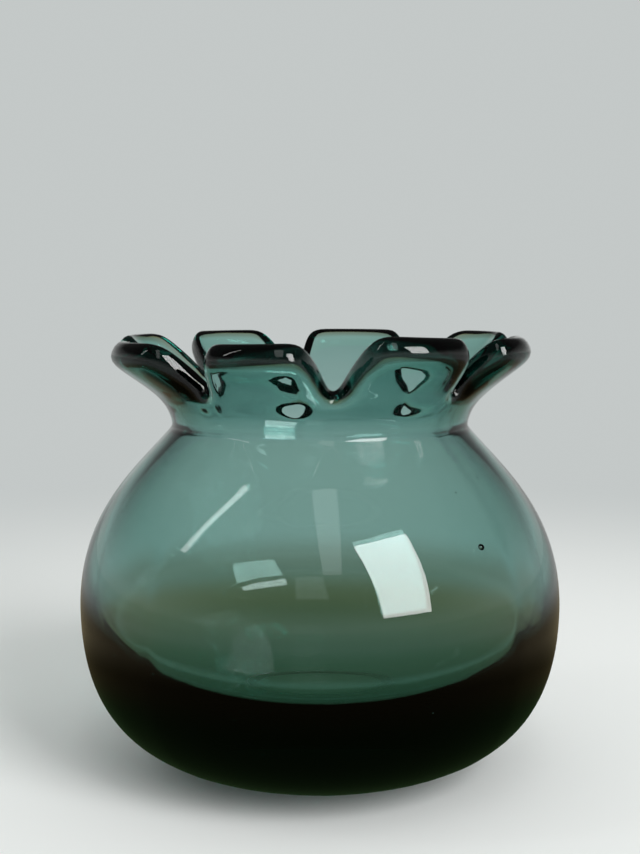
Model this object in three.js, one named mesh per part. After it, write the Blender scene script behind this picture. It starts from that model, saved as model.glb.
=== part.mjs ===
// A hand-blown posy vase of thick teal glass: a heavy base, a round belly,
// a necked collar and eight petals sheared from the lip and folded outwards.
// Millimetres, +Z up. The origin is the middle of the foot, on the table.
// Azimuths turn from the front (-Y) towards +X.

import * as THREE from 'three';

// Outside of the belly, from the flat foot up to the widest circle
const footRadius = 27;
const footCurveRun = 13.8;
const footCurveRise = 4.6;
const bellyRadius = 71.6;
const bellyHeight = 49.5;
const bellyFullness = 0.9;

// Shoulder, from the widest circle up to the neck crease
const shoulderHeight = 52.8;
const creaseRadius = 43.7;
const shoulderFullness = 0.55;
const shoulderRun = 0.3;
const shoulderDrop = 0.2;

// Hollow, over a solid base
const baseThickness = 16;
const bellyWall = 4;
const neckWall = 4.8;
const floorFullness = 0.5;
const floorCornerFullness = 0.68;
const seamShare = 0.67;

// Lip: it leaves the crease upright, folds outwards and swells towards its rounded rim
const lipHeight = 26.2;
const lipOverhang = 18.7;
const rimThickness = 8.8;
const edgeRadius = 3.9;
const fullestRound = 0.9;
const lipUprightRun = 10.5;
const lipUprightLean = 0.3;
const lipTipAngle = 38;
const lipTipRun = 14;

// Shear cuts that part the lip into petals, one azimuth in degrees for each cut
const cutAzimuths = [4.5, 49.5, 97, 140, 190, 233, 273, 320];
const petalLength = 18.2;
const cutFloorWidth = 4.4;
const cutMouthWidth = 17;
const cornerRadius = 7.5;
const seamGap = 0.3;

// Fineness of the facets
const sidesAround = 48;
const curveSteps = 9;
const collarSteps = 6;
const petalSteps = 6;
const cornerSteps = 5;
const faceLines = [0.36, 0.64];
const heightHalvings = 40;

const creaseHeight = bellyHeight + shoulderHeight;
const cavityRadius = bellyRadius - bellyWall;
const creaseBore = creaseRadius - neckWall;
const seamHeight = THREE.MathUtils.lerp(baseThickness, bellyHeight, seamShare);

const point = (radius, height) => new THREE.Vector2(radius, height);
const curve = (...points) => new THREE.CubicBezierCurve(...points);

// The outside below the widest circle, from the edge of the foot
const underside = curve(
  point(footRadius, 0),
  point(footRadius + footCurveRun, footCurveRise),
  point(bellyRadius, bellyHeight * (1 - bellyFullness)),
  point(bellyRadius, bellyHeight),
);

// The rounded floor of the hollow, from the axis out to its widest circle
const hollowFloor = curve(
  point(0, baseThickness),
  point(cavityRadius * floorFullness, baseThickness),
  point(cavityRadius, bellyHeight - floorCornerFullness * (bellyHeight - baseThickness)),
  point(cavityRadius, bellyHeight),
);

// One shoulder, from the widest circle up to the crease
const shoulder = (widestRadius, neckRadius) => curve(
  point(widestRadius, bellyHeight),
  point(widestRadius, bellyHeight + shoulderFullness * shoulderHeight),
  point(
    THREE.MathUtils.lerp(neckRadius, widestRadius, shoulderRun),
    creaseHeight - shoulderDrop * shoulderHeight,
  ),
  point(neckRadius, creaseHeight),
);
const outerShoulder = shoulder(bellyRadius, creaseRadius);
const innerShoulder = shoulder(cavityRadius, creaseBore);

// The rim's end face is square to the lip, and its round edges reach the rim's height and overhang
const rimHalf = rimThickness / 2;
const rimRound = Math.min(edgeRadius, fullestRound * rimHalf);
const tipAngle = THREE.MathUtils.degToRad(lipTipAngle);
const tipCos = Math.cos(tipAngle);
const tipSin = Math.sin(tipAngle);
const rimCentre = point(
  creaseRadius + lipOverhang - rimRound * (1 - tipCos) - (rimHalf - rimRound) * tipSin,
  creaseHeight + lipHeight - rimRound * (1 - tipSin) - (rimHalf - rimRound) * tipCos,
);

// The middle of the lip's thickness, from the crease to the middle of the rim's end face
const lipStart = point(creaseRadius - neckWall / 2, creaseHeight);
const lipPath = curve(
  lipStart,
  point(lipStart.x + lipUprightLean, lipStart.y + lipUprightRun),
  point(rimCentre.x - lipTipRun * tipCos, rimCentre.y - lipTipRun * tipSin),
  rimCentre,
);
const lipReach = lipPath.getLength();
const cutFloor = lipReach - petalLength;

// The stretch of a rising curve between two heights
function stretch(path, low, high, steps) {
  const whereAt = (height) => {
    let below = 0;
    let above = 1;
    for (let halving = 0; halving < heightHalvings; halving += 1) {
      const middle = (below + above) / 2;
      if (path.getPoint(middle).y < height) {
        below = middle;
      } else {
        above = middle;
      }
    }
    return (below + above) / 2;
  };
  const start = whereAt(low);
  const end = whereAt(high);
  const points = [];
  for (let step = 0; step <= steps; step += 1) {
    points.push(path.getPoint(THREE.MathUtils.lerp(start, end, step / steps)));
  }
  points[0].y = low;
  points[steps].y = high;
  return points;
}

// How far a rounded edge has drawn in, at a distance into its radius
const drawnIn = (radius, into) => radius - Math.sqrt(Math.max(radius ** 2 - into ** 2, 0));

// Half the lip's thickness: the thin neck wall swells into the thick rim
function halfThickness(distance) {
  const swell = THREE.MathUtils.smoothstep(distance, 0, lipReach);
  return THREE.MathUtils.lerp(neckWall / 2, rimHalf, swell);
}

// A point of the lip, at a distance along its path and a height above the path
function lipPoint(distance, above) {
  const share = THREE.MathUtils.clamp(distance / lipReach, 0, 1);
  const tangent = lipPath.getTangentAt(share);
  const place = lipPath.getPointAt(share);
  return point(place.x - tangent.y * above, place.y + tangent.x * above);
}

function glass(name, geometry, color) {
  const finish = new THREE.MeshStandardMaterial({ color, roughness: 0.05, metalness: 0 });
  const mesh = new THREE.Mesh(geometry, finish);
  mesh.name = name;
  return mesh;
}

// A ring turned round the axis between an outer and an inner outline that both rise
function turnedRing(outside, inside) {
  const outline = [...outside, ...inside.reverse(), outside[0].clone()];
  return new THREE.LatheGeometry(outline, sidesAround).rotateX(Math.PI / 2);
}

// Heavy base: the flat foot, the underside and the rounded floor of the hollow
function heavyBase() {
  const outside = stretch(underside, 0, seamHeight, curveSteps);
  const inside = stretch(hollowFloor, baseThickness, seamHeight, curveSteps);
  const outline = [point(0, 0), ...outside, ...inside.reverse()];
  const geometry = new THREE.LatheGeometry(outline, sidesAround).rotateX(Math.PI / 2);
  return glass('heavy_base', geometry, 0x12201b);
}

// Bowl wall: the blown shell from the base to the crease
function bowlWall() {
  const outside = stretch(underside, seamHeight, bellyHeight, 2);
  const inside = stretch(hollowFloor, seamHeight, bellyHeight, 2);
  outside.push(...stretch(outerShoulder, bellyHeight, creaseHeight, curveSteps).slice(1));
  inside.push(...stretch(innerShoulder, bellyHeight, creaseHeight, curveSteps).slice(1));
  return glass('bowl_wall', turnedRing(outside, inside), 0x6f9a90);
}

// Neck collar: it flares from the crease to the floor of the cuts, where it ends square to the lip
function neckCollar() {
  const outside = [point(creaseRadius, creaseHeight)];
  const inside = [point(creaseBore, creaseHeight)];
  for (let step = 1; step <= collarSteps; step += 1) {
    const distance = cutFloor * step / collarSteps;
    outside.push(lipPoint(distance, -halfThickness(distance)));
    inside.push(lipPoint(distance, halfThickness(distance)));
  }
  return glass('neck_collar', turnedRing(outside, inside), 0x78a69b);
}

// How far a petal's side lies from the middle of the cut beside it
function cutHalfWidth(distance) {
  const share = (distance - cutFloor) / petalLength;
  const straight = THREE.MathUtils.lerp(cutFloorWidth, cutMouthWidth, share) / 2;
  const floorRadius = cutFloorWidth / 2 - seamGap;
  const intoFloor = Math.max(cutFloor + floorRadius - distance, 0);
  const intoCorner = Math.max(distance - (lipReach - cornerRadius), 0);
  return straight - drawnIn(floorRadius, intoFloor) + drawnIn(cornerRadius, intoCorner);
}

// One section of a petal, square to the lip: a rounded rectangle bent round the axis
function petalSection(distance, firstCut, secondCut) {
  const intoRim = Math.max(distance - (lipReach - rimRound), 0);
  const half = halfThickness(distance) - drawnIn(rimRound, intoRim);
  const radius = lipPoint(distance, 0).x;
  const inset = cutHalfWidth(distance) / radius;
  const left = firstCut + inset;
  const right = secondCut - inset;
  const round = Math.min(edgeRadius, fullestRound * half);
  const bevel = round * (1 - Math.SQRT1_2);
  const across = [
    [left, half - round],
    [left + bevel / radius, half - bevel],
    [left + round / radius, half],
    ...faceLines.map((share) => [THREE.MathUtils.lerp(left, right, share), half]),
    [right - round / radius, half],
    [right - bevel / radius, half - bevel],
    [right, half - round],
  ];
  const place = (azimuth, above) => {
    const spot = lipPoint(distance, above);
    return [spot.x * Math.sin(azimuth), -spot.x * Math.cos(azimuth), spot.y];
  };
  const upper = across.map(([azimuth, above]) => place(azimuth, above));
  const lower = across.map(([azimuth, above]) => place(azimuth, -above));
  return [...upper, ...lower.reverse()];
}

// Petal: sections from its root, a seam's gap above the collar, out to the rim's end face
function petal(name, firstCut, secondCut) {
  const root = cutFloor + seamGap;
  const cornerStart = lipReach - cornerRadius;
  const distances = [];
  for (let step = 0; step < petalSteps; step += 1) {
    distances.push(THREE.MathUtils.lerp(root, cornerStart, step / petalSteps));
  }
  for (let step = 0; step <= cornerSteps; step += 1) {
    distances.push(cornerStart + cornerRadius * Math.sin(step / cornerSteps * Math.PI / 2));
  }
  const sections = distances.map((distance) => petalSection(distance, firstCut, secondCut));
  const sides = sections[0].length;
  const faces = [];
  for (let ring = 0; ring < sections.length - 1; ring += 1) {
    for (let side = 0; side < sides; side += 1) {
      const a = ring * sides + side;
      const b = ring * sides + (side + 1) % sides;
      faces.push(a, a + sides, b, b, a + sides, b + sides);
    }
  }
  const lastRing = (sections.length - 1) * sides;
  for (let side = 0; side < sides / 2 - 1; side += 1) {
    const below = sides - 1 - side;
    faces.push(side, side + 1, below, below, side + 1, below - 1);
    const [a, b, c, d] = [side, side + 1, below, below - 1].map((corner) => lastRing + corner);
    faces.push(a, c, b, c, d, b);
  }
  const geometry = new THREE.BufferGeometry();
  geometry.setAttribute('position', new THREE.Float32BufferAttribute(sections.flat(2), 3));
  geometry.setIndex(faces);
  geometry.computeVertexNormals();
  return glass(name, geometry, 0x5f8f86);
}

const vase = new THREE.Group();
vase.add(heavyBase(), bowlWall(), neckCollar());
cutAzimuths.forEach((azimuth, index) => {
  const nextAzimuth = cutAzimuths[index + 1] ?? cutAzimuths[0] + 360;
  const firstCut = THREE.MathUtils.degToRad(azimuth);
  const secondCut = THREE.MathUtils.degToRad(nextAzimuth);
  vase.add(petal(`petal_${index + 1}`, firstCut, secondCut));
});

export default vase;
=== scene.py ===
import math

import bmesh
import bpy
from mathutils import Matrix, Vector


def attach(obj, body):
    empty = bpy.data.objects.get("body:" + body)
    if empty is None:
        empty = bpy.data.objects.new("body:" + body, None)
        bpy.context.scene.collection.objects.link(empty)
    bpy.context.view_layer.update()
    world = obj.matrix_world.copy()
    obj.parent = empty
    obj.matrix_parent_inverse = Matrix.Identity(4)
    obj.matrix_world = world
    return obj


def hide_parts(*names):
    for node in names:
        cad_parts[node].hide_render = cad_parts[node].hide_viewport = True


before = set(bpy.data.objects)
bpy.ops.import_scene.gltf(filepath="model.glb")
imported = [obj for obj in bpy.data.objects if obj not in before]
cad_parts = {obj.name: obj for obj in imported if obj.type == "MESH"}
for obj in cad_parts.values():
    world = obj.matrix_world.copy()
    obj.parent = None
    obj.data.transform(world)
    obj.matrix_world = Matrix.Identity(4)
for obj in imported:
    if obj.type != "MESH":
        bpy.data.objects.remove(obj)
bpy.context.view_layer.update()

# Vase: one unbroken skin of hand-blown teal glass, because the real seams are fused.
# Half of its outline is drawn in millimetres, foot to lip outside and lip to floor
# inside, and is spun round the axis with one narrow step at each shear cut.
MM = 0.001
FOOT_EDGE = (27, 0)
WIDEST = (71.6, 49.5)
CREASE = (43.7, 102.3)
FLOOR_MIDDLE = (0, 16)
WIDEST_INSIDE = (67.6, 49.5)
CREASE_INSIDE = (38.9, 102.3)
LIP_PATH = ((41.3, 102.3), (41.6, 112.8), (50.2, 118), (61.3, 126.6))
NECK_HALF = 2.4
RIM_SWELL = 2
SLOPE_STEP = 0.01


def curve_point(share, start, start_pull, end_pull, end):
    """A point of a curve in millimetres, at a share of the way from its start to its end."""
    rest = 1 - share
    weights = (rest**3, 3 * rest**2 * share, 3 * rest * share**2, share**3)
    return sum(
        (Vector(pull) * weight for pull, weight in zip((start, start_pull, end_pull, end), weights)),
        Vector((0, 0)),
    )


def curve_points(shares, *pulls):
    return [curve_point(share, *pulls) for share in shares]


def lip_edges(share):
    """The lip's underside and upper side, at a share of the way from crease to rim."""
    along = curve_point(share + SLOPE_STEP, *LIP_PATH) - curve_point(share - SLOPE_STEP, *LIP_PATH)
    half = NECK_HALF + RIM_SWELL * share * share * (3 - 2 * share)
    across = Vector((along.y, -along.x)).normalized() * half
    middle = curve_point(share, *LIP_PATH)
    return middle + across, middle - across


# CUTS holds the azimuths of the shear cuts in degrees, from the front towards +X. The
# cuts are CUT_SPAN degrees wide at their floor, at the share CUT_FLOOR of the lip.
CUTS = [4.5, 49.5, 97, 140, 190, 233, 273, 320]
CUT_SPAN = 3.2
CUT_FLOOR = 0.475

# A point near the crease on both sides of it keeps the outside crisp when it is smoothed.
CREASE_NEAR = 0.045
foot = [Vector((radius, 0)) for radius in (0, 4, 14, 22, FOOT_EDGE[0])]
tenths = [step / 10 for step in range(1, 11)]
underside = curve_points(tenths, FOOT_EDGE, (40.8, 4.6), (71.6, 4.95), WIDEST)
shoulder_shares = [0.12, 0.25, 0.38, 0.51, 0.64, 0.77, 0.89]
shoulder = curve_points(
    [*shoulder_shares, 1 - CREASE_NEAR, 1], WIDEST, (71.6, 78.5), (52.1, 91.7), CREASE
)
inner_shoulder = curve_points(
    [0, *shoulder_shares, 1], WIDEST_INSIDE, (67.6, 78.5), (47.5, 91.7), CREASE_INSIDE
)
floor_shares = [0, 0.05, 0.14, 0.26, 0.4, 0.54, 0.68, 0.84]
hollow_floor = curve_points(floor_shares, FLOOR_MIDDLE, (34, 16), (67.6, 26.7), WIDEST_INSIDE)
collar = [lip_edges(share) for share in (0.1, 0.22, 0.35, CUT_FLOOR)]
outline = [*foot, *underside, *shoulder, lip_edges(CREASE_NEAR)[0]]
outline += [edges[0] for edges in collar]
outline += [edges[1] for edges in reversed(collar)]
outline += [*reversed(inner_shoulder), *reversed(hollow_floor)]

# Smoothing draws the spun rings in to this share of their radius, so they are spun wider.
SPIN_SHRINK = 0.99715
bpy.ops.object.select_all(action="DESELECT")
bpy.ops.mesh.primitive_plane_add(size=MM)
vase = bpy.context.object
vase.name = "vase_glass"
bpy.ops.object.mode_set(mode="EDIT")
bpy.ops.mesh.select_all(action="SELECT")
bpy.ops.mesh.merge(type="CENTER")
for here, there in zip(outline, outline[1:]):
    step = Vector((0, (here.x - there.x) / SPIN_SHRINK, there.y - here.y)) * MM
    bpy.ops.mesh.extrude_vertices_move(TRANSFORM_OT_translate={"value": step})


def turn_vase(degrees):
    """Turn the whole mesh about the axis, from the front towards +X."""
    bpy.ops.mesh.select_all(action="SELECT")
    bpy.ops.transform.rotate(
        value=-math.radians(degrees), orient_axis="Z", center_override=(0, 0, 0)
    )


TAB_COLUMNS = 5
turn_vase(CUTS[0] - CUT_SPAN / 2)
next_cuts = [*CUTS[1:], CUTS[0] + 360]
for cut, next_cut in zip(CUTS, next_cuts):
    for columns, span in ((1, CUT_SPAN), (TAB_COLUMNS, next_cut - cut - CUT_SPAN)):
        bpy.ops.mesh.spin(
            steps=columns, angle=-math.radians(span), center=(0, 0, 0), axis=(0, 0, 1)
        )
bpy.ops.mesh.select_all(action="SELECT")
bpy.ops.mesh.remove_doubles(threshold=0.01 * MM)
bpy.ops.mesh.normals_make_consistent(inside=False)

# Tabs of the lip: each is drawn out of the collar's end while the vase is turned to face
# it, then narrowed, swelled to its rim and leant. tip holds the azimuths of the rim's two
# ends, lift raises the rim, reach moves it outwards, and tilt raises its right end.
TABS = [
    {"tip": (14.3, 41.5), "lift": 1.9, "reach": 0.8, "tilt": -2},
    {"tip": (55, 86), "lift": 0.8, "reach": 0.1, "tilt": 0},
    {"tip": (104.3, 130), "lift": 0.9, "reach": 0.5, "tilt": 0},
    {"tip": (153, 183.5), "lift": 0.6, "reach": 0.4, "tilt": 0},
    {"tip": (199.5, 225.3), "lift": 0.4, "reach": 0.4, "tilt": 0},
    {"tip": (240.5, 265.5), "lift": 0.2, "reach": 0.4, "tilt": 0},
    {"tip": (280, 310), "lift": -0.4, "reach": 0.1, "tilt": 0},
    {"tip": (329.6, 355.6), "lift": 0.4, "reach": 0.6, "tilt": 1},
]
TAB_SHARES = [CUT_FLOOR, 0.64, 0.82, 1.01]
CORNER_DRAW = 0.8
HEIGHT_SLACK = 0.2
AZIMUTH_SLACK = 0.5


def picked_heights():
    """The height of each picked vertex, by its index."""
    skin = bmesh.from_edit_mesh(vase.data)
    skin.verts.index_update()
    return {vertex.index: vertex.co.z for vertex in skin.verts if vertex.select}


def pick_vertices(test):
    bpy.ops.mesh.select_all(action="DESELECT")
    skin = bmesh.from_edit_mesh(vase.data)
    for vertex in skin.verts:
        if test(vertex):
            vertex.select_set(True)
    skin.select_flush(True)
    bmesh.update_edit_mesh(vase.data)


def pick_collar_end(half_span):
    """Pick the collar's end at the front, half_span degrees to both sides."""
    lowest = (lip_edges(CUT_FLOOR)[0].y - HEIGHT_SLACK) * MM
    widest = math.radians(half_span + AZIMUTH_SLACK)
    pick_vertices(
        lambda vertex: vertex.co.z > lowest
        and abs(math.atan2(vertex.co.x, -vertex.co.y)) < widest
    )


def draw_row(row, old, new, reach, lift):
    """Draw one row of the tab's end, on its underside or its upper side, outwards and up."""
    pick_vertices(lambda vertex: vertex.index in row)
    spread = (new.x + reach) / old.x
    bpy.ops.transform.resize(value=(spread, spread, 1), center_override=(0, 0, 0))
    bpy.ops.transform.translate(value=(0, 0, (new.y - old.y + lift) * MM))


for tab, cut, next_cut in zip(TABS, CUTS, next_cuts):
    middle = (cut + next_cut) / 2
    root_half = (next_cut - cut - CUT_SPAN) / 2
    tip_half = (tab["tip"][1] - tab["tip"][0]) / 2
    lean = sum(tab["tip"]) / 2 - middle
    turn_vase(-middle)
    pick_collar_end(root_half)
    half_width = math.radians(root_half)
    risen = 0
    for old_share, share in zip(TAB_SHARES, TAB_SHARES[1:]):
        grown = (share - CUT_FLOOR) / (1 - CUT_FLOOR)
        growth = (share - old_share) / (1 - CUT_FLOOR)
        reach = tab["reach"] * growth
        lift = tab["lift"] * growth
        old_edges = lip_edges(old_share)
        new_edges = lip_edges(share)
        bpy.ops.mesh.extrude_region()
        end = picked_heights()
        split = ((old_edges[0].y + old_edges[1].y) / 2 + risen) * MM
        lower_row = {index for index, height in end.items() if height < split}
        for row, old, new in zip((lower_row, end.keys() - lower_row), old_edges, new_edges):
            draw_row(row, old, new, reach, lift)
        risen += lift
        pick_vertices(lambda vertex: vertex.index in end)
        radius = (new_edges[0].x + new_edges[1].x) / 2
        wanted = math.radians(root_half + (tip_half - root_half) * grown)
        if share == TAB_SHARES[-1]:
            wanted -= CORNER_DRAW / radius
        narrowing = math.sin(wanted) / math.sin(half_width)
        bpy.ops.transform.resize(value=(narrowing, 1, 1), center_override=(0, 0, 0))
        half_width = wanted
        sway = radius * math.radians(lean) * growth * MM
        bpy.ops.transform.translate(value=(sway, 0, 0))
        end_centre = (0, -radius * MM, (new_edges[0].y + new_edges[1].y) / 2 * MM)
        bpy.ops.transform.rotate(
            value=math.radians(tab["tilt"] * growth), orient_axis="Y", center_override=end_centre
        )
    turn_vase(middle)

bpy.ops.object.mode_set(mode="OBJECT")
smoothing = vase.modifiers.new("smoothing", "SUBSURF")
smoothing.levels = 2
bpy.ops.object.modifier_apply(modifier=smoothing.name)

# Air bubbles and seeds caught in the glass: small hollows inside the wall and the base,
# whose faces point into the air they hold. Each has its azimuth in degrees, and then its
# distance from the axis, its height and its own radius in millimetres.
BUBBLES = [
    (41.3, 63.9, 74.3, 1),
    (41.2, 54.7, 87.6, 0.25),
    (54.2, 52.6, 90, 0.3),
    (-52.3, 69.4, 43.8, 0.35),
    (-38.6, 69.4, 42.1, 0.3),
    (-18.7, 67.5, 33, 0.25),
    (-13.3, 62.5, 23.5, 0.3),
    (25.2, 67.5, 34, 0.25),
    (30.9, 61.5, 21.5, 0.3),
]
BUBBLE_FLATNESS = 0.85
bpy.ops.object.mode_set(mode="EDIT")
for azimuth, distance, height, bubble_radius in BUBBLES:
    bpy.ops.mesh.select_all(action="DESELECT")
    across = math.radians(azimuth)
    place = Vector((math.sin(across) * distance, -math.cos(across) * distance, height)) * MM
    bpy.ops.mesh.primitive_uv_sphere_add(
        segments=16, ring_count=10, radius=bubble_radius * MM, location=place
    )
    bpy.ops.transform.resize(value=(1, 1, BUBBLE_FLATNESS), center_override=place)
    bpy.ops.mesh.flip_normals()
bpy.ops.object.mode_set(mode="OBJECT")
bpy.ops.object.shade_smooth()
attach(vase, "root")
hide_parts("heavy_base", "bowl_wall", "neck_collar", *(f"petal_{n}" for n in range(1, 9)))

# Hot work: what the maker's tools leave in the surface of blown glass, as a normal and a
# mask. Slow waves lie all over, faint rings lie where the jacks turned in the neck, soft
# dents lie where the tabs were folded, and the foot is ground flat.
hot_work = bpy.data.node_groups.new("hot_work", "ShaderNodeTree")
for relief_height in ("Wave Height", "Ring Height", "Dent Depth"):
    hot_work.interface.new_socket(relief_height, in_out="INPUT", socket_type="NodeSocketFloat")
hot_work.interface.new_socket("Normal", in_out="OUTPUT", socket_type="NodeSocketVector")
hot_work.interface.new_socket("Ground Foot", in_out="OUTPUT", socket_type="NodeSocketFloat")
work_nodes = hot_work.nodes
work_links = hot_work.links
work_in = work_nodes.new("NodeGroupInput")
work_out = work_nodes.new("NodeGroupOutput")
work_place = work_nodes.new("ShaderNodeTexCoord")
work_parts = work_nodes.new("ShaderNodeSeparateXYZ")
work_links.new(work_place.outputs["Object"], work_parts.inputs["Vector"])


def clamped_math(tree, operation, first, second):
    """Combine two values that stay between 0 and 1."""
    step = tree.nodes.new("ShaderNodeMath")
    step.operation = operation
    step.use_clamp = True
    tree.links.new(first, step.inputs[0])
    tree.links.new(second, step.inputs[1])
    return step.outputs["Value"]


def blotches(scale, detail):
    pattern = work_nodes.new("ShaderNodeTexNoise")
    pattern.inputs["Scale"].default_value = scale
    pattern.inputs["Detail"].default_value = detail
    return pattern


def only_above(pattern, low, high):
    """Fade a pattern in between two heights over the foot, in metres."""
    fade = work_nodes.new("ShaderNodeMapRange")
    fade.interpolation_type = "SMOOTHSTEP"
    fade.inputs["From Min"].default_value = low
    fade.inputs["From Max"].default_value = high
    work_links.new(work_parts.outputs["Z"], fade.inputs["Value"])
    return clamped_math(hot_work, "MULTIPLY", pattern, fade.outputs["Result"])


def relief(height_name, pattern):
    """One layer of relief, as high as the group's input of that name says."""
    layer = work_nodes.new("ShaderNodeBump")
    layer.inputs["Strength"].default_value = 1
    work_links.new(work_in.outputs[height_name], layer.inputs["Distance"])
    work_links.new(pattern, layer.inputs["Height"])
    return layer


waves = blotches(28, 1)
work_links.new(work_place.outputs["Object"], waves.inputs["Vector"])
wave_relief = relief("Wave Height", waves.outputs["Fac"])

rings = blotches(300, 0)
rings.noise_dimensions = "1D"
work_links.new(work_parts.outputs["Z"], rings.inputs["W"])
ring_relief = relief("Ring Height", only_above(rings.outputs["Fac"], 0.085, 0.1))
work_links.new(wave_relief.outputs["Normal"], ring_relief.inputs["Normal"])

dents = blotches(80, 0)
work_links.new(work_place.outputs["Object"], dents.inputs["Vector"])
dent_relief = relief("Dent Depth", only_above(dents.outputs["Fac"], 0.103, 0.112))
work_links.new(ring_relief.outputs["Normal"], dent_relief.inputs["Normal"])
work_links.new(dent_relief.outputs["Normal"], work_out.inputs["Normal"])

ground = work_nodes.new("ShaderNodeMapRange")
ground.inputs["From Min"].default_value = 0.00005
ground.inputs["From Max"].default_value = 0.0004
ground.inputs["To Min"].default_value = 1
ground.inputs["To Max"].default_value = 0
work_links.new(work_parts.outputs["Z"], ground.inputs["Value"])
work_links.new(ground.outputs["Result"], work_out.inputs["Ground Foot"])

# Teal glass: fire-polished and clear on its surface, dull on its ground foot. Its colour
# lies in its depth, so thin walls are pale and the base is nearly black.
glass = bpy.data.materials.new("teal_glass")
glass.use_nodes = True
nodes = glass.node_tree.nodes
links = glass.node_tree.links
shader = nodes["Principled BSDF"]
shader.inputs["Base Color"].default_value = (1, 1, 1, 1)
shader.inputs["IOR"].default_value = 1.5
shader.inputs["Transmission Weight"].default_value = 1
work = nodes.new("ShaderNodeGroup")
work.node_tree = hot_work
work.inputs["Wave Height"].default_value = 0.00008
work.inputs["Ring Height"].default_value = 0.00003
work.inputs["Dent Depth"].default_value = 0.00045
links.new(work.outputs["Normal"], shader.inputs["Normal"])
polish = nodes.new("ShaderNodeMapRange")
polish.inputs["To Min"].default_value = 0.008
polish.inputs["To Max"].default_value = 0.3
links.new(work.outputs["Ground Foot"], polish.inputs["Value"])
links.new(polish.outputs["Result"], shader.inputs["Roughness"])
tint = nodes.new("ShaderNodeVolumeAbsorption")
tint.inputs["Color"].default_value = (0.053, 0.513, 0.46, 1)
tint.inputs["Density"].default_value = 150
links.new(tint.outputs["Volume"], nodes["Material Output"].inputs["Volume"])
vase.data.materials.clear()
vase.data.materials.append(glass)

# Floor: wide, pale and plain, and lit by the lamps for the camera. For rays from the glass it
# glows instead, though it is no lamp, with painted colours set by its distance from the vase.
# Bent rays see painted warm brown close by. Mirrored rays see painted shade close by and then
# a painted brown band. Trapped rays see painted shade close by. All of them see it turn pale
# farther out. Trapped rays are those that were mirrored inside the glass before they came out.
FLOOR_WIDTH = 12
BACKDROP = (0.55, 0.58, 0.575, 1)
bpy.ops.mesh.primitive_plane_add(size=FLOOR_WIDTH)
floor = bpy.context.object
floor.name = "floor"
paint = bpy.data.materials.new("floor_paint")
paint.use_nodes = True
paint_nodes = paint.node_tree.nodes
paint_links = paint.node_tree.links
paint_rays = paint_nodes.new("ShaderNodeLightPath")
paint_place = paint_nodes.new("ShaderNodeTexCoord")
paint_distance = paint_nodes.new("ShaderNodeVectorMath")
paint_distance.operation = "LENGTH"
paint_links.new(paint_place.outputs["Object"], paint_distance.inputs[0])


def trapped_rays(tree, rays):
    return clamped_math(
        tree, "MINIMUM", rays.outputs["Glossy Depth"], rays.outputs["Transmission Depth"]
    )


def painted_colour_by_distance(*stops):
    """Blend painted colours outwards from the vase: each stop is a distance in metres and a colour.
    """
    shade = paint_nodes.new("ShaderNodeValToRGB")
    paint_links.new(paint_distance.outputs["Value"], shade.inputs["Fac"])
    shade.color_ramp.interpolation = "EASE"
    while len(shade.color_ramp.elements) < len(stops):
        shade.color_ramp.elements.new(1)
    for element, (distance, colour) in zip(shade.color_ramp.elements, stops):
        element.position = distance
        element.color = colour
    return shade.outputs["Color"]


def show_when(rays_seen, base_colour, colour):
    """A colour for the rays that are named, over the base colour for all the others."""
    choice = paint_nodes.new("ShaderNodeMix")
    choice.data_type = "RGBA"
    paint_links.new(rays_seen, choice.inputs["Factor"])
    paint_links.new(base_colour, choice.inputs["A"])
    paint_links.new(colour, choice.inputs["B"])
    return choice.outputs["Result"]


backdrop_colour = paint_nodes.new("ShaderNodeRGB")
backdrop_colour.outputs["Color"].default_value = BACKDROP
# Painted colours for rays from the glass: painted shade close to the vase for mirrored and trapped
# rays, painted brown near it, and pale farther out.
mirrored = painted_colour_by_distance(
    (0.08, (0.018, 0.035, 0.013, 1)),
    (0.13, (0.05, 0.042, 0.02, 1)),
    (0.2, (0.18, 0.15, 0.09, 1)),
    (0.4, (0.42, 0.44, 0.43, 1)),
)
bent = painted_colour_by_distance(
    (0.05, (0.9, 0.5, 0.36, 1)),
    (0.12, (0.36, 0.26, 0.14, 1)),
    (0.2, (0.38, 0.37, 0.31, 1)),
    (0.4, (0.55, 0.6, 0.57, 1)),
)
trapped = painted_colour_by_distance((0.2, (0.03, 0.035, 0.03, 1)), (0.6, (0.5, 0.5, 0.48, 1)))
backdrop_and_painted_colour = show_when(paint_rays.outputs["Is Glossy Ray"], backdrop_colour.outputs["Color"], mirrored)
backdrop_and_painted_colour = show_when(paint_rays.outputs["Is Transmission Ray"], backdrop_and_painted_colour, bent)
backdrop_and_painted_colour = show_when(trapped_rays(paint.node_tree, paint_rays), backdrop_and_painted_colour, trapped)

# Far off, what the camera sees of the floor fades into the backdrop.
horizon_fade = paint_nodes.new("ShaderNodeMapRange")
horizon_fade.interpolation_type = "SMOOTHSTEP"
horizon_fade.inputs["From Min"].default_value = 0.15
horizon_fade.inputs["From Max"].default_value = 0.6
paint_links.new(paint_distance.outputs["Value"], horizon_fade.inputs["Value"])
glow_share = clamped_math(
    paint.node_tree, "MULTIPLY", horizon_fade.outputs["Result"], paint_rays.outputs["Is Camera Ray"]
)
for glass_ray in ("Is Glossy Ray", "Is Transmission Ray"):
    glow_share = clamped_math(
        paint.node_tree, "MAXIMUM", glow_share, paint_rays.outputs[glass_ray]
    )
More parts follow.
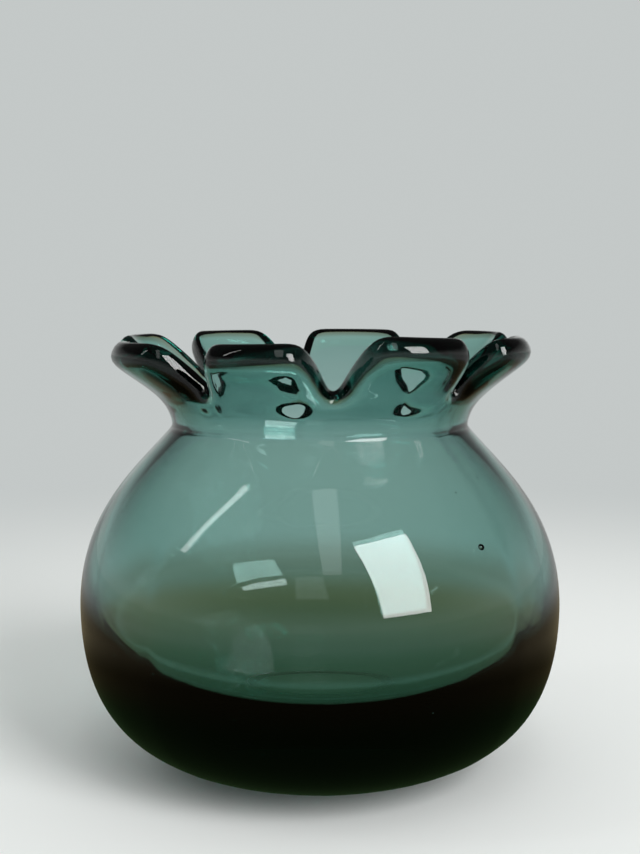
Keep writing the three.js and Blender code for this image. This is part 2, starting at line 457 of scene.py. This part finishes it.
# Where the share says so, the floor glows like a lamp. For rays from the glass it glows with the
# painted colours, and for the camera it glows with the flat backdrop far off.
backdrop_and_painted_glow = paint_nodes.new("ShaderNodeEmission")
paint_links.new(backdrop_and_painted_colour, backdrop_and_painted_glow.inputs["Color"])
paint_shader = paint_nodes["Principled BSDF"]
paint_shader.inputs["Base Color"].default_value = (0.82, 0.83, 0.82, 1)
paint_shader.inputs["Roughness"].default_value = 0.9
paint_shader.inputs["Specular IOR Level"].default_value = 0.1
floor_mix = paint_nodes.new("ShaderNodeMixShader")
paint_links.new(glow_share, floor_mix.inputs["Fac"])
paint_links.new(paint_shader.outputs["BSDF"], floor_mix.inputs[1])
paint_links.new(backdrop_and_painted_glow.outputs["Emission"], floor_mix.inputs[2])
paint_links.new(floor_mix.outputs["Shader"], paint_nodes["Material Output"].inputs["Surface"])
floor.data.materials.append(paint)

# Sky: pale all round. Rays from the glass see it dim overhead, from the lowest rise for
# trapped rays, so that thick glass reads dark and the softboxes stand out.
world = bpy.data.worlds.new("studio")
bpy.context.scene.world = world
world.use_nodes = True
sky = world.node_tree
sky_rays = sky.nodes.new("ShaderNodeLightPath")
direction = sky.nodes.new("ShaderNodeTexCoord")
direction_parts = sky.nodes.new("ShaderNodeSeparateXYZ")
sky.links.new(direction.outputs["Generated"], direction_parts.inputs["Vector"])


def dim_above(rays_seen, pale_rise, dim_rise):
    """How dim such rays see the sky. A direction's rise is 0 for level and 1 for straight up."""
    risen = sky.nodes.new("ShaderNodeMapRange")
    risen.inputs["From Min"].default_value = pale_rise
    risen.inputs["From Max"].default_value = dim_rise
    sky.links.new(direction_parts.outputs["Z"], risen.inputs["Value"])
    return clamped_math(sky, "MULTIPLY", rays_seen, risen.outputs["Result"])


bent_rays = sky_rays.outputs["Is Transmission Ray"]
mirrored_rays = clamped_math(sky, "SUBTRACT", sky_rays.outputs["Is Glossy Ray"], bent_rays)
dimness = dim_above(bent_rays, 0.28, 0.62)
dimness = clamped_math(sky, "MAXIMUM", dimness, dim_above(mirrored_rays, 0.05, 0.4))
dimness = clamped_math(sky, "MAXIMUM", dimness, dim_above(trapped_rays(sky, sky_rays), 0, 0.2))
sky_mix = sky.nodes.new("ShaderNodeMix")
sky_mix.data_type = "RGBA"
sky_mix.inputs["A"].default_value = (0.56, 0.58, 0.57, 1)
sky_mix.inputs["B"].default_value = (0.05, 0.05, 0.05, 1)
sky.links.new(dimness, sky_mix.inputs["Factor"])
backdrop = sky.nodes.new("ShaderNodeMix")
backdrop.data_type = "RGBA"
backdrop.inputs["B"].default_value = BACKDROP
sky.links.new(sky_rays.outputs["Is Camera Ray"], backdrop.inputs["Factor"])
sky.links.new(sky_mix.outputs["Result"], backdrop.inputs["A"])
sky.links.new(backdrop.outputs["Result"], sky.nodes["Background"].inputs["Color"])

# Softboxes: a large one high to the right, a thin one to the left, and three overhead that
# lie one over another, each wider than the last, so that their glow has soft sides.
AIM_HEIGHT = 0.07
POWER_PER_METRE = 3


def softbox(name, azimuth, elevation, distance, width, height, power):
    """A rectangular lamp that faces the middle of the vase."""
    lamp = bpy.data.lights.new(name, "AREA")
    lamp.shape = "RECTANGLE"
    lamp.size = width
    lamp.size_y = height
    lamp.energy = power
    holder = bpy.data.objects.new(name, lamp)
    bpy.context.scene.collection.objects.link(holder)
    across = math.radians(azimuth)
    up = math.radians(elevation)
    level = math.cos(up)
    towards = Vector((math.sin(across) * level, -math.cos(across) * level, math.sin(up)))
    holder.location = towards * distance + Vector((0, 0, AIM_HEIGHT))
    holder.rotation_euler = towards.to_track_quat("Z", "Y").to_euler()


softbox("right_softbox", azimuth=40, elevation=27, distance=2.4, width=1, height=1.8, power=56)
softbox("left_softbox", azimuth=-75, elevation=45, distance=1.4, width=0.07, height=0.8, power=0.8)
for layer, width in enumerate((0.08, 0.15, 0.24)):
    softbox(f"overhead_softbox_{layer}", 5, 52, 1.2, width, 0.9, POWER_PER_METRE * width)

# Camera: 0.4 m in front of the axis and a little higher than the lip, looking down by
# six degrees, with a lens that fills the upright frame with the vase.
camera_data = bpy.data.cameras.new("camera")
camera_data.lens = 56.9
camera_data.sensor_width = 36
camera = bpy.data.objects.new("camera", camera_data)
camera.location = (0, -0.4, 0.1435)
camera.rotation_euler = (math.radians(84), 0, 0)
bpy.context.scene.collection.objects.link(camera)
bpy.context.scene.camera = camera
bpy.context.scene.view_settings.view_transform = "Standard"
